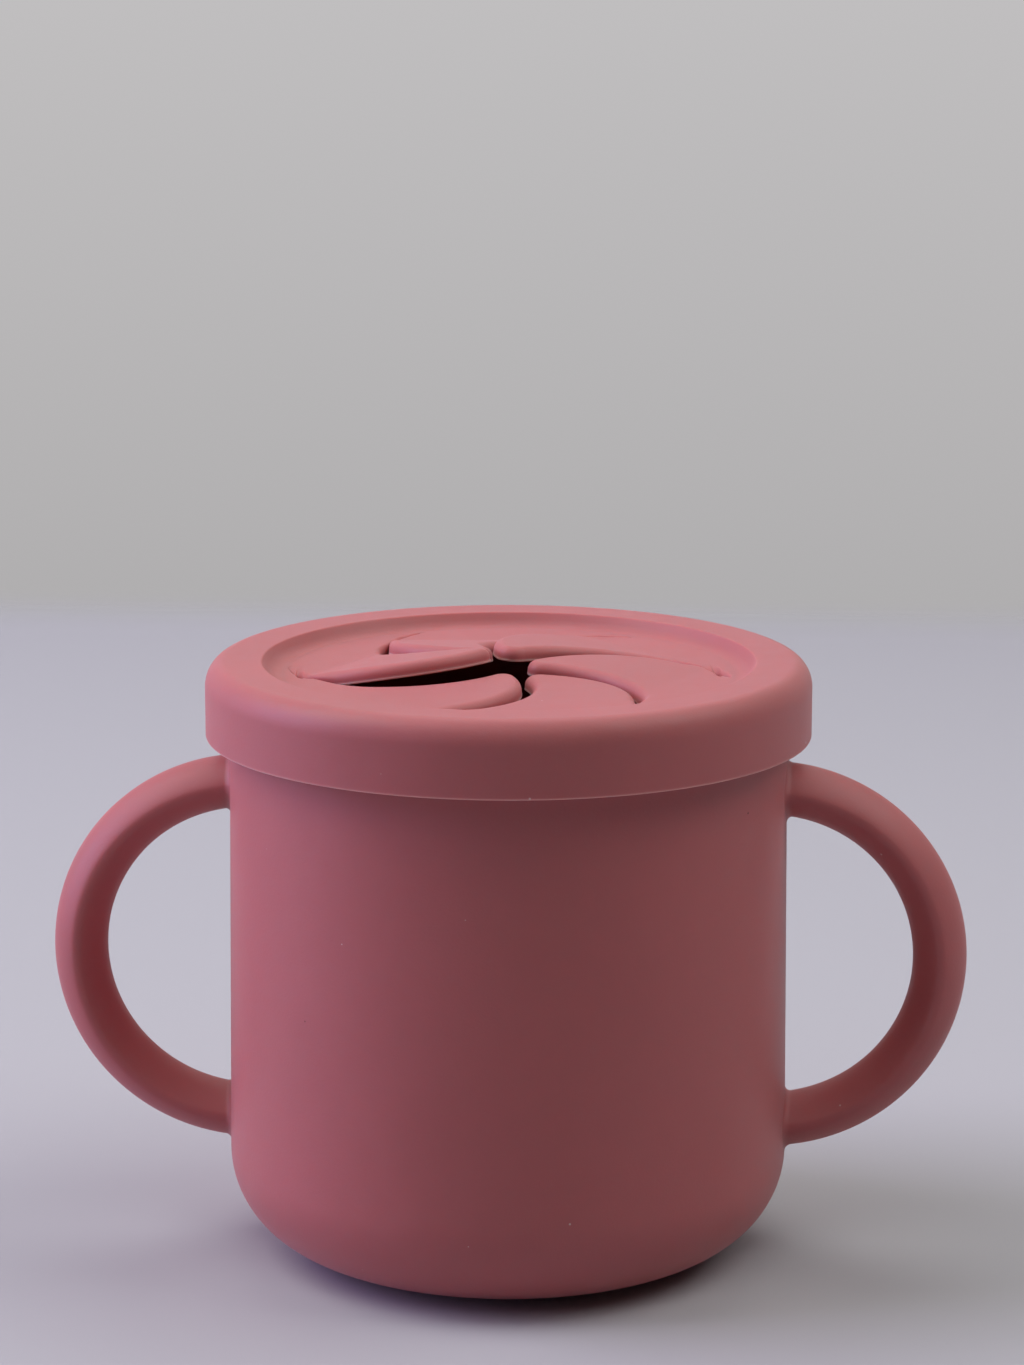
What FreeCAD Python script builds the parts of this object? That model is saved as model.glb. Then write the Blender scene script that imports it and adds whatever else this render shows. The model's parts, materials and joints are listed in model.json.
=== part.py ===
import FreeCAD, Part
import enum
import math
import os
import Sketcher

# Two-handled silicone mug with a push-on snack lid, in millimetres and degrees.
# +Z is up, the foot stands on z = 0, the cup's axis is the Z axis and the handles lie along X.
# Six curved slits cut the lid's sunk floor into six flaps. Each slit is an arc outwards from the lid's
# centre, and each flap swings about a line from the outer end of one slit across to the slit before it.

# Driving sizes
SIZES = {
    # Cup: overall height to the mouth, radii, walls and the foot it stands on
    "cup_height": 81.2,
    "cup_top_radius": 38.6,
    "wall_flare": 0.6,
    "wall": 2.7,
    "floor_thickness": 3.0,
    "base_corner": 13.5,
    "foot_height": 0.8,
    "foot_set_in": 0.5,
    "rim_round": 0.8,
    # Handles: rings of oval section between the lid's skirt and the base corner
    "handle_below_skirt": 3.9,
    "handle_above_table": 14.3,
    "handle_thickness": 7.5,
    "handle_width": 10.4,
    "handle_set_in": 2.2,
    "handle_sweep": 210.0,
    # Lid: running gap on the cup, deck and skirt outside, plug inside, sunk floor
    "fit_gap": 0.3,
    "deck": 2.5,
    "skirt_wall": 3.1,
    "skirt_depth": 10.3,
    "edge_round": 2.6,
    "plug_wall": 2.2,
    "plug_depth": 7.5,
    "crest_set_out": 1.2,
    "recess_run": 3.1,
    "recess_drop": 2.0,
    "web": 2.0,
    # Slits and flaps
    "slit_end_margin": 2.9,
    "slit_turn": 120.0,
    "slit_bearing": 6.9,
    "hinge_turn": 11.0,
    "slot": 1.0,
    "hinge_gap": 0.25,
    "tip_round": 1.6,
    "flap_edge_round": 0.8,
    # How far each flap stands up (+) or sags (-) from level when nothing touches it
    "rest_tilt_1": 8.0,
    "rest_tilt_2": 7.5,
    "rest_tilt_3": 11.0,
    "rest_tilt_4": 2.0,
    "rest_tilt_5": 0.2,
    "rest_tilt_6": 3.4,
    # How far a cutting or joining sketch runs past the solid that it works on
    "overrun": 2.0,
}

# Sizes worked out from the driving ones
DERIVED = {
    # Cup
    "base_radius": "cup_top_radius + wall_flare",
    "flat_radius": "base_radius - base_corner",
    "foot_radius": "flat_radius - foot_set_in",
    "corner_top": "foot_height + base_corner",
    "rim_start": "cup_height - rim_round",
    "rim_outer": "cup_top_radius - rim_round",
    "mouth_radius": "cup_top_radius - wall",
    "rim_inner": "mouth_radius + rim_round",
    "inner_base_radius": "base_radius - wall",
    "inner_corner": "base_corner - wall",
    "inner_flat": "inner_base_radius - inner_corner",
    "floor_level": "foot_height + floor_thickness",
    "inner_corner_top": "floor_level + inner_corner",
    # Lid
    "deck_bottom": "cup_height + fit_gap",
    "lid_top": "deck_bottom + deck",
    "skirt_inner": "cup_top_radius + fit_gap",
    "lid_radius": "skirt_inner + skirt_wall",
    "skirt_bottom": "lid_top - skirt_depth",
    "edge_start": "lid_top - edge_round",
    "deck_outer": "lid_radius - edge_round",
    "plug_outer": "mouth_radius - fit_gap",
    "plug_inner": "plug_outer - plug_wall",
    "crest_radius": "plug_inner + crest_set_out",
    "recess_round": "(recess_run ^ 2 + recess_drop ^ 2) / (4 * recess_drop)",
    "recess_mid_radius": "crest_radius - recess_run / 2",
    "recess_mid_height": "lid_top - recess_drop / 2",
    "web_radius": "crest_radius - recess_run",
    "web_top": "lid_top - recess_drop",
    "web_bottom": "web_top - web",
    "plug_bottom": "web_bottom - plug_depth",
    # Handles
    "handle_outer": "(skirt_bottom - handle_below_skirt - handle_above_table) / 2",
    "handle_ring": "handle_outer - handle_thickness / 2",
    "handle_level": "handle_above_table + handle_outer",
    "handle_centre": "cup_top_radius - handle_set_in",
    # Slits, in a flap's own frame: x along its root towards the next slit, y towards the lid's centre.
    # The near slit runs beside the flap's hollow edge and the far slit round its bulging edge.
    "half_web": "web / 2",
    "hinge_level": "web_top - half_web",
    "slit_reach": "web_radius - slit_end_margin",
    "hinge_distance": "slit_reach * cos(30 + hinge_turn)",
    "slit_radius": "slit_reach / (2 * sin(slit_turn / 2))",
    "near_radius": "slit_radius + slot / 2",
    "far_radius": "slit_radius - slot / 2",
    "lean": "slit_turn / 2 - 90 + hinge_turn",
    "near_x": "slit_radius * sin(lean - 30)",
    "near_y": "hinge_distance - slit_radius * cos(lean - 30)",
    "far_x": "slit_radius * sin(lean + 30)",
    "far_y": "hinge_distance - slit_radius * cos(lean + 30)",
    "tip_along": "slit_radius / 2 + slot + 2 * tip_round",
    "tip_across": "sqrt((near_radius + tip_round) ^ 2 - tip_along ^ 2)",
    "tip_x": "near_x + tip_along * cos(lean) - tip_across * sin(lean)",
    "tip_y": "near_y + tip_along * sin(lean) + tip_across * cos(lean)",
    "tip_near_x": "near_x + (tip_x - near_x) * near_radius / (near_radius + tip_round)",
    "tip_near_y": "near_y + (tip_y - near_y) * near_radius / (near_radius + tip_round)",
    "tip_far_x": "far_x + (tip_x - far_x) * far_radius / (far_radius - tip_round)",
    "tip_far_y": "far_y + (tip_y - far_y) * far_radius / (far_radius - tip_round)",
    "shoulder_rise": "half_web + hinge_gap",
    "shoulder_left": "near_x + sqrt(near_radius ^ 2 - (near_y - shoulder_rise) ^ 2)",
    "far_start": "far_x + sqrt(far_radius ^ 2 - (far_y - shoulder_rise) ^ 2)",
    "shoulder_right": "far_start - slot - flap_edge_round",
    "root_cut": "half_web + overrun / 2",
    "blank_width": "1.5 * slit_reach",
    "blank_end": "hinge_distance + overrun",
    "plan_start": "half_web + overrun",
    "plan_end": "blank_end + overrun",
    # Opening in the web for one flap and the slits beside it, in the same frame
    "cut_left": "near_x + sqrt(far_radius ^ 2 - (near_y + shoulder_rise) ^ 2)",
    "cut_right": "far_x + sqrt(near_radius ^ 2 - (far_y + shoulder_rise) ^ 2)",
    "cut_along": "slit_radius / 2 - slot",
    "cut_across": "sqrt(far_radius ^ 2 - cut_along ^ 2)",
    "cut_tip_x": "near_x + cut_along * cos(lean) - cut_across * sin(lean)",
    "cut_tip_y": "near_y + cut_along * sin(lean) + cut_across * cos(lean)",
}

FLAPS = 6

# The points that a sketch knows on a curve, numbered from 1
Spot = enum.IntEnum("Spot", "START END CENTRE")

doc = FreeCAD.newDocument("silicone_mug")
sheet = doc.addObject("Spreadsheet::Sheet", "sizes")


def fill_sheet():
    """One row per size: its name in column A, its number or formula in column B under that alias."""
    rows = {name: str(number) for name, number in SIZES.items()}
    rows.update({name: "=" + formula for name, formula in DERIVED.items()})
    for row, (name, text) in enumerate(rows.items(), start=1):
        sheet.set(f"A{row}", name)
        sheet.set(f"B{row}", text)
        sheet.setAlias(f"B{row}", name)
    doc.recompute()


def value(term):
    """Number behind a term: a size's name, the name with a minus sign, or 0."""
    if term == 0:
        return 0.0
    sign = -1.0 if term.startswith("-") else 1.0
    return sign * float(sheet.get(term.lstrip("-")))


def binding(term):
    """Expression that ties a property to a term."""
    sign = "-" if term.startswith("-") else ""
    return f"{sign}sizes.{term.lstrip('-')}"


def new_sketch(body, name, role, lift=None):
    """Empty sketch on one of the body's origin planes, raised along its normal by a size if given one."""
    sketch = body.newObject("Sketcher::SketchObject", name)
    plane = [feature for feature in body.Origin.OriginFeatures if feature.Role == role][0]
    sketch.AttachmentSupport = (plane, "")
    sketch.MapMode = "FlatFace"
    if lift:
        sketch.setExpression("AttachmentOffset.Base.z", binding(lift))
    return sketch


def pin(sketch, geometry, end, corner):
    """Hold one end of a line or arc at a corner, each coordinate tied to its size or lying on an axis.

    A sketch counts its own x axis, which starts at its origin, as curve -1 and its y axis as curve -2.
    """
    for kind, axis, term in (("DistanceX", -2, corner[0]), ("DistanceY", -1, corner[1])):
        if term == 0:
            sketch.addConstraint(Sketcher.Constraint("PointOnObject", geometry, end, axis))
        else:
            constraint = Sketcher.Constraint(kind, -1, Spot.START, geometry, end, value(term))
            index = sketch.addConstraint(constraint)
            sketch.setExpression(f"Constraints[{index}]", binding(term))


def hold_radius(sketch, geometry, term):
    """Tie the radius of an arc or circle to a size."""
    index = sketch.addConstraint(Sketcher.Constraint("Radius", geometry, value(term)))
    sketch.setExpression(f"Constraints[{index}]", binding(term))


def arc_between(start, end, radius, turn):
    """Arc of under half a circle that turns left (+1) or right (-1) on its way from start to end."""
    chord = end - start
    left = FreeCAD.Vector(-chord.y, chord.x, 0).normalize()
    rise = math.sqrt(max(radius ** 2 - (chord.Length / 2) ** 2, 0.0))
    centre = (start + end) / 2 + left * rise * turn
    angles = [math.atan2(point.y - centre.y, point.x - centre.x) for point in (start, end)]
    if turn < 0:
        angles.reverse()
    return Part.ArcOfCircle(Part.Circle(centre, FreeCAD.Vector(0, 0, 1), radius), *angles)


def outline(sketch, corners):
    """Closed outline through corners (x, y). A corner (x, y, radius, turn) starts an arc to the next."""
    first = sketch.GeometryCount
    points = [FreeCAD.Vector(value(corner[0]), value(corner[1]), 0) for corner in corners]
    ends = []
    for index, corner in enumerate(corners):
        start = points[index]
        end = points[(index + 1) % len(points)]
        if len(corner) == 2:
            sketch.addGeometry(Part.LineSegment(start, end))
            ends.append((Spot.START, Spot.END))
        else:
            sketch.addGeometry(arc_between(start, end, value(corner[2]), corner[3]))
            forwards = corner[3] > 0
            ends.append((Spot.START, Spot.END) if forwards else (Spot.END, Spot.START))
    for index, corner in enumerate(corners):
        following = (index + 1) % len(corners)
        pair = (first + index, ends[index][1], first + following, ends[following][0])
        sketch.addConstraint(Sketcher.Constraint("Coincident", *pair))
    for index, corner in enumerate(corners):
        pin(sketch, first + index, ends[index][0], corner)
        if len(corner) > 2:
            hold_radius(sketch, first + index, corner[2])


def circle(sketch, radius):
    """Circle about the sketch's origin."""
    centre = FreeCAD.Vector(0, 0, 0)
    geometry = sketch.addGeometry(Part.Circle(centre, FreeCAD.Vector(0, 0, 1), value(radius)))
    sketch.addConstraint(Sketcher.Constraint("Coincident", geometry, Spot.CENTRE, -1, Spot.START))
    hold_radius(sketch, geometry, radius)


def new_body(label):
    """Empty body whose label names the sub-part."""
    body = doc.addObject("PartDesign::Body", label)
    body.Label = label
    return body


def turned(label, corners):
    """Body of revolution about Z from a half section with x as radius and y as height."""
    body = new_body(label)
    sketch = new_sketch(body, label + "_section", "XZ_Plane")
    outline(sketch, corners)
    turn = body.newObject("PartDesign::Revolution", label + "_turn")
    turn.Profile = sketch
    turn.ReferenceAxis = (sketch, ["V_Axis"])
    turn.Angle = 360
    body.Tip = turn
    return body


def padded(body, sketch, name, length, symmetric=False):
    """Pad of a sketch by a size, to one side or to both."""
    pad = body.newObject("PartDesign::Pad", name)
    pad.Profile = sketch
    pad.setExpression("Length", binding(length))
    pad.SideType = "Symmetric" if symmetric else "One side"
    body.Tip = pad
    return pad


def cut_through(body, sketch, name):
    """Pocket of a sketch through the whole body, to both sides."""
    pocket = body.newObject("PartDesign::Pocket", name)
    pocket.Profile = sketch
    pocket.Type = "ThroughAll"
    pocket.SideType = "Symmetric"
    body.Tip = pocket
    return pocket


# Half section of the cup's outside, from the middle of the foot up to the mouth
CUP_OUTSIDE = [
    (0, 0),
    ("foot_radius", 0),
    ("foot_radius", "foot_height"),
    ("flat_radius", "foot_height", "base_corner", 1),
    ("base_radius", "corner_top"),
    ("cup_top_radius", "rim_start", "rim_round", 1),
    ("rim_outer", "cup_height"),
]

# Half section of the cup's inside, from the mouth down to the middle of the floor
CUP_INSIDE = [
    ("rim_inner", "cup_height", "rim_round", 1),
    ("mouth_radius", "rim_start"),
    ("inner_base_radius", "inner_corner_top", "inner_corner", -1),
    ("inner_flat", "floor_level"),
    (0, "floor_level"),
]


def make_cup():
    """Cup wall, floor and foot in one turned section."""
    return turned("cup_body", CUP_OUTSIDE + CUP_INSIDE)


def make_handle(label, side, envelope):
    """Part of an oval-section ring beside the cup, trimmed to the cup's outer wall; side is +1 or -1."""
    section = doc.addObject("Part::Ellipse", label + "_section")
    section.setExpression("MajorRadius", "sizes.handle_width / 2")
    section.setExpression("MinorRadius", "sizes.handle_thickness / 2")
    reach = f"{side} * (sizes.handle_centre + sizes.handle_ring)"
    place = f"placement(vector({reach}; 0; sizes.handle_level); rotation(90; 0; 0))"
    section.setExpression("Placement", place)
    ring = doc.addObject("Part::Revolution", label + "_ring")
    ring.Source = section
    ring.Axis = FreeCAD.Vector(0, 1, 0)
    ring.setExpression("Base.x", f"{side} * sizes.handle_centre")
    ring.setExpression("Base.z", "sizes.handle_level")
    ring.setExpression("Angle", "sizes.handle_sweep")
    ring.Symmetric = True
    ring.Solid = True
    handle = doc.addObject("Part::Cut", label)
    handle.Label = label
    handle.Base = ring
    handle.Tool = envelope
    return handle


def make_lid_rim():
    """Deck, skirt and plug in one turned section, with the rounded slope down to the sunk floor."""
    return turned("lid_rim", [
        ("skirt_inner", "skirt_bottom"),
        ("lid_radius", "skirt_bottom"),
        ("lid_radius", "edge_start", "edge_round", 1),
        ("deck_outer", "lid_top"),
        ("crest_radius", "lid_top", "recess_round", 1),
        ("recess_mid_radius", "recess_mid_height", "recess_round", -1),
        ("web_radius", "web_top"),
        ("web_radius", "web_bottom"),
        ("plug_inner", "web_bottom"),
        ("plug_inner", "plug_bottom"),
        ("plug_outer", "plug_bottom"),
        ("plug_outer", "deck_bottom"),
        ("skirt_inner", "deck_bottom"),
    ])


def make_lid_membrane():
    """Sunk floor round the flaps: a disc with one opening for each flap and the slits beside it."""
    body = new_body("lid_membrane")
    disc = new_sketch(body, "membrane_disc", "XY_Plane", "web_bottom")
    circle(disc, "web_radius")
    padded(body, disc, "membrane_blank", "web")
    opening = new_sketch(body, "membrane_opening", "XY_Plane")
    bearing = "(30 - sizes.hinge_turn)"
    across = f"sizes.hinge_distance * cos({bearing})"
    along = f"sizes.hinge_distance * sin({bearing})"
    place = f"placement(vector({across}; {along}; sizes.web_top); rotation({bearing} + 90; 0; 0))"
    opening.setExpression("AttachmentOffset", place)
    outline(opening, [
        ("cut_left", "-shoulder_rise"),
        ("cut_right", "-shoulder_rise", "near_radius", 1),
        ("cut_tip_x", "cut_tip_y", "far_radius", -1),
    ])
    cut = cut_through(body, opening, "membrane_cut")
    doc.recompute()
    cuts = body.newObject("PartDesign::PolarPattern", "membrane_cuts")
    cuts.Originals = [cut]
    cuts.Axis = (disc, ["N_Axis"])
    cuts.Angle = 360
    cuts.Occurrences = FLAPS
    body.Tip = cuts
    body.setExpression("Placement", "placement(vector(0; 0; 0); rotation(sizes.slit_bearing; 0; 0))")
    return body


def upper_slit_edges(shape):
    """Names of the upper edges along a flap's slits and round its tip: the level arcs of its top face."""
    top = value("half_web")
    names = []
    for number, edge in enumerate(shape.Edges, start=1):
        level = all(math.isclose(point.Z, top, rel_tol=1e-6) for point in edge.Vertexes)
        if level and isinstance(edge.Curve, Part.Circle):
            names.append(f"Edge{number}")
    return names


def rounded(body, name, base, edges, radius):
    """Fillet of named edges by a size."""
    fillet = body.newObject("PartDesign::Fillet", name)
    fillet.Base = (base, edges)
    fillet.setExpression("Radius", binding(radius))
    body.Tip = fillet
    doc.recompute()
    return fillet


def make_flap(number):
    """Flap between slit number and the next, round at its root, set at its rest tilt on its hinge line."""
    label = f"flap_{number}"
    body = new_body(label)
    section = new_sketch(body, label + "_section", "YZ_Plane")
    outline(section, [
        (0, "-half_web"),
        ("blank_end", "-half_web"),
        ("blank_end", "half_web"),
        (0, "half_web", "half_web", 1),
        ("-half_web", 0, "half_web", 1),
    ])
    padded(body, section, label + "_blank", "blank_width", symmetric=True)
    plan = new_sketch(body, label + "_plan", "XY_Plane")
    outline(plan, [
        ("-slit_reach", "-plan_start"),
        ("slit_reach", "-plan_start"),
        ("slit_reach", "plan_end"),
        ("-slit_reach", "plan_end"),
    ])
    outline(plan, [
        ("shoulder_left", "-root_cut"),
        ("shoulder_right", "-root_cut"),
        ("shoulder_right", "shoulder_rise"),
        ("far_start", "shoulder_rise", "far_radius", 1),
        ("tip_far_x", "tip_far_y", "tip_round", 1),
        ("tip_near_x", "tip_near_y", "near_radius", -1),
        ("shoulder_left", "shoulder_rise"),
    ])
    trim = cut_through(body, plan, label + "_trim")
    doc.recompute()
    rounded(body, label + "_edge", trim, upper_slit_edges(trim.Shape), "flap_edge_round")
    bearing = f"(sizes.slit_bearing - sizes.hinge_turn + {(number - 1) * 360 / FLAPS + 180 / FLAPS})"
    across = f"sizes.hinge_distance * cos({bearing})"
    along = f"sizes.hinge_distance * sin({bearing})"
    turn = f"rotation({bearing} + 90; 0; sizes.rest_tilt_{number})"
    body.setExpression("Placement", f"placement(vector({across}; {along}; sizes.hinge_level); {turn})")
    return body


def check(parts):
    """Stop if any object failed, or if a sub-part isn't one valid solid."""
    failed = [item.Name for item in doc.Objects if {"Invalid", "Error"} & set(item.State)]
    if failed:
        raise RuntimeError(f"failed objects: {failed}")
    for part in parts:
        shape = part.Shape
        if shape.isNull() or not shape.isValid() or len(shape.Solids) != 1:
            raise RuntimeError(f"{part.Label} is not one valid solid")


fill_sheet()
envelope = turned("cup_envelope", CUP_OUTSIDE + [(0, "cup_height")])
parts = [
    make_cup(),
    make_handle("left_handle", -1, envelope),
    make_handle("right_handle", 1, envelope),
    make_lid_rim(),
    make_lid_membrane(),
]
parts += [make_flap(number) for number in range(1, FLAPS + 1)]
doc.recompute()
check(parts)

os.makedirs("parts", exist_ok=True)
for part in parts:
    part.Shape.exportStep(f"parts/{part.Label}.step")
    print(part.Label, round(part.Shape.Volume), part.Shape.BoundBox)
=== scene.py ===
"""Silicone mug with two ring handles and a slit snack lid: its looks, built around the packed CAD part."""

import json
import math

import bmesh
import bpy
import numpy as np
from bpy.props import FloatProperty, FloatVectorProperty, IntProperty, PointerProperty
from mathutils import Matrix, Vector


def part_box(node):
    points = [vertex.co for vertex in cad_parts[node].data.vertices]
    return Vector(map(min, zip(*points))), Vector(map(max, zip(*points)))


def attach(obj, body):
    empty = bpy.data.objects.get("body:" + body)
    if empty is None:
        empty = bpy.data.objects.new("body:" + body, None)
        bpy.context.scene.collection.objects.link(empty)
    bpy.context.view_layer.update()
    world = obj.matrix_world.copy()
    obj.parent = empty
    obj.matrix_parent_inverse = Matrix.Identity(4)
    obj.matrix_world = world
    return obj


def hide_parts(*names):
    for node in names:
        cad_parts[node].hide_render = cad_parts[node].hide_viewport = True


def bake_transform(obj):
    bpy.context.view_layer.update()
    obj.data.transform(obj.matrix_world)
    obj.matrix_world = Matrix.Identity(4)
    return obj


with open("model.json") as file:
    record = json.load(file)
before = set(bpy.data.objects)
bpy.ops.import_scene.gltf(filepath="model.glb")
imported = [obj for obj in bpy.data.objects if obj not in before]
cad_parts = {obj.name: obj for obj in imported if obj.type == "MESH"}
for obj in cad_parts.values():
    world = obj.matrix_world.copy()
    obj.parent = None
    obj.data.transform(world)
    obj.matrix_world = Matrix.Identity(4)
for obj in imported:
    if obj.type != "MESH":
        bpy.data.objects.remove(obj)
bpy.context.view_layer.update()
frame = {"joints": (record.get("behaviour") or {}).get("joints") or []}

bl_info = {
    "name": "Silicone Mug",
    "version": (1, 0, 0),
    "blender": (4, 5, 0),
    "location": "View3D > Sidebar > Mug",
    "description": "Builds a soft two-handled mug, its slit lid and a plain studio around the packed part",
    "category": "Object",
}

CUP_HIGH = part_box("cup_body")[1]
HANDLE_LOW, HANDLE_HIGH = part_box("right_handle")
RIM_LOW, RIM_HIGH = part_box("lid_rim")
BENDS = [joint for joint in frame["joints"] if joint["name"].startswith("flap_")]
FLAPS = len(BENDS)
STEP_ROUND = 2 * math.pi / FLAPS
MERGE_WITHIN, FLAT_WITHIN = 2e-7, 1e-8

# Rows down a flap's side: height above the underside, share of the lip's stand-out, and how much flash shows
SIDE_HEIGHTS = np.array([0.00055, 0.00034, 0.00024, 0.00006])
SIDE_STANDS = np.array([0, 0, 1, 1])
SIDE_FLASH = np.array([0, 0.15, 1, 1])

# Flash on a flap's underside: how much shows at its sides, and the share of the width within which it fades
UNDER_FLASH, UNDER_FADE = 0.7, 0.02

# Place and edge length of each lamp, in metres
LAMPS = {
    "high_left": ((-0.6, 0, 0.8), 0.6),
    "high_right": ((0.6, 0, 0.8), 0.6),
    "high_back": ((0, 0.5, 0.9), 0.7),
    "high_front": ((0, -0.5, 0.9), 0.7),
    "low_left": ((-1.8, 0, 0.66), 1.2),
}
LAMP_AIM = (0, 0, 0.04)
WHITE = (1.0, 1.0, 1.0)
SENSOR_MM = 36.0
CLIP_NEAR, CLIP_FAR = 0.01, 10.0


# Properties

def length(name, description, default):
    """A size in metres."""
    return FloatProperty(name=name, description=description, default=default, unit="LENGTH", precision=5)


def angle(name, description, degrees):
    """An angle, shown in degrees and kept in radians."""
    return FloatProperty(name=name, description=description, default=math.radians(degrees), subtype="ANGLE")


def share(name, description, default):
    """A share between nothing and one."""
    return FloatProperty(name=name, description=description, default=default, min=0, max=1, subtype="FACTOR")


def number(name, description, default):
    """A plain number."""
    return FloatProperty(name=name, description=description, default=default, precision=3)


def count(name, description, default):
    """A whole number."""
    return IntProperty(name=name, description=description, default=default, min=1)


def colour(name, description, default):
    """A linear colour."""
    return FloatVectorProperty(name=name, description=description, default=default, size=3, min=0, max=1,
                               subtype="COLOR")


class MugCup(bpy.types.PropertyGroup):
    """Sizes of the cup's shell."""
    height: length("Height", "Table to rim", CUP_HIGH.z)
    base_radius: length("Base radius", "Outside radius above the base corner", CUP_HIGH.x)
    flare: length("Draw-in", "How much narrower the wall is at the rim", 0.0006)
    wall: length("Wall", "Thickness of the wall", 0.0027)
    floor: length("Floor", "Thickness of the floor above the foot", 0.003)
    corner: length("Base corner", "Outside radius between wall and base", 0.0135)
    foot_height: length("Foot height", "How far the foot lifts the base", 0.0008)
    foot_set_in: length("Foot set-in", "Step from the flat of the base in to the foot", 0.0005)
    foot_round: length("Foot rounding", "Rounding of the foot's edge", 0.0003)
    rim_round: length("Rim rounding", "Rounding of the mouth's edges", 0.0008)
    columns: count("Columns", "Columns of faces round the shell", 240)


class MugHandles(bpy.types.PropertyGroup):
    """Sizes of the two ring handles."""
    reach: length("Reach", "Mug's axis to the ring's centre", 0.0364)
    level: length("Level", "Table to the ring's centre", (HANDLE_LOW.z + HANDLE_HIGH.z) / 2)
    thickness: length("Thickness", "Section across the ring", 0.0075)
    width: length("Width", "Section along the front to back direction", HANDLE_HIGH.y - HANDLE_LOW.y)
    ridge_power: number("Ridge power", "Power along the section's thickness; under 2 it has ridges", 1.15)
    side_power: number("Side power", "Power along the section's width; 2 is round", 1.8)
    ridge_round: length("Ridge rounding", "Radius by which the section's ridges are rounded", 0.0014)
    crowding: share("Crowding", "How much the section's points crowd towards its ridges", 0.8)
    fillet: length("Fillet", "Rounding where the ring meets the wall", 0.0009)
    sink: length("Sink", "How far the closed end goes into the wall", 0.001)
    columns: count("Columns", "Points round the section", 80)
    rows: count("Rows", "Points along the ring between its fillets", 120)
    fillet_rows: count("Fillet rows", "Points along each fillet", 10)
    first_guess: angle("First guess", "Ring angle from which the search for the wall starts", 83)


class MugLid(bpy.types.PropertyGroup):
    """Sizes of the lid's rim and sunk floor."""
    radius: length("Radius", "Outside radius of the skirt", RIM_HIGH.x)
    top: length("Top", "Table to the deck's top", RIM_HIGH.z)
    deck: length("Deck", "Thickness of the deck", 0.0025)
    edge_round: length("Edge rounding", "Rounding between deck and skirt, seen from above", 0.0028)
    edge_depth: length("Edge depth", "Height of the same rounding, seen from the side", 0.0035)
    skirt_wall: length("Skirt wall", "Thickness of the skirt", 0.0031)
    skirt_depth: length("Skirt depth", "Deck's top to the skirt's lower edge", 0.0103)
    skirt_round: length("Skirt rounding", "Rounding of the skirt's lower edges", 0.0002)
    plug_radius: length("Plug radius", "Outside radius of the plug", 0.0356)
    plug_wall: length("Plug wall", "Thickness of the plug", 0.0022)
    plug_round: length("Plug rounding", "Rounding of the plug's lower edges", 0.0006)
    crest: length("Crest", "Radius where the deck turns down into the recess", 0.0344)
    crest_round: length("Crest rounding", "Rounding of the crest", 0.0004)
    crest_drop: length("Crest drop", "How far the deck falls towards the crest", 0.00005)
    slope_lean: angle("Slope lean", "Steepness of the slope into the recess", 54)
    slope_foot: length("Slope foot", "Hollow rounding between slope and sunk floor", 0.0024)
    slope_drop: length("Slope drop", "Depth of the sunk floor below the deck", 0.002)
    web: length("Web", "Thickness of the sunk floor", 0.002)
    join: length("Join", "Radius where the rim's mesh meets the six flap pieces", 0.0312)


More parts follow.
